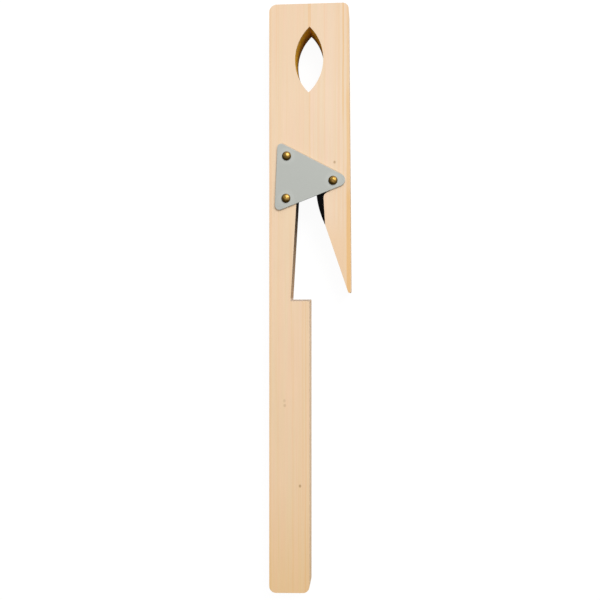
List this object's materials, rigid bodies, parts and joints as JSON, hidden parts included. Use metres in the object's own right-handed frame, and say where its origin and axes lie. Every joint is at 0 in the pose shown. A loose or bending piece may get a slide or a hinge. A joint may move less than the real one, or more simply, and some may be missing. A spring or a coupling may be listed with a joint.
{
  "type": "hooked wood carving tool",
  "caption": "Flat softwood hook tool with a long handle, a hooked notch, a short blade under a nailed triangular plate, and an almond-shaped eye to hang it by",
  "frame": {"origin": "middle of the underside of the box round the whole tool, which lies on its back", "axes": "+Y along the tool from the handle's end to the head, +Z out of the face that carries the plate, +X towards the side that carries the beak"},
  "size_m": [0.0486, 0.3499, 0.0207],
  "materials": {
    "handle_wood": "bare planed pine",
    "hook_wood": "bare planed pine",
    "plate_metal": "satin grey sheet",
    "blade_steel": "blackened",
    "nail_brass": "polished"
  },
  "bodies": {
    "root": {"handle_lath": "handle_wood", "hook_lath": "hook_wood", "cover_plate": "plate_metal", "cutting_blade": "blade_steel", "upper_nail": "nail_brass", "lower_nail": "nail_brass", "hook_nail": "nail_brass"}
  },
  "joints": []
}
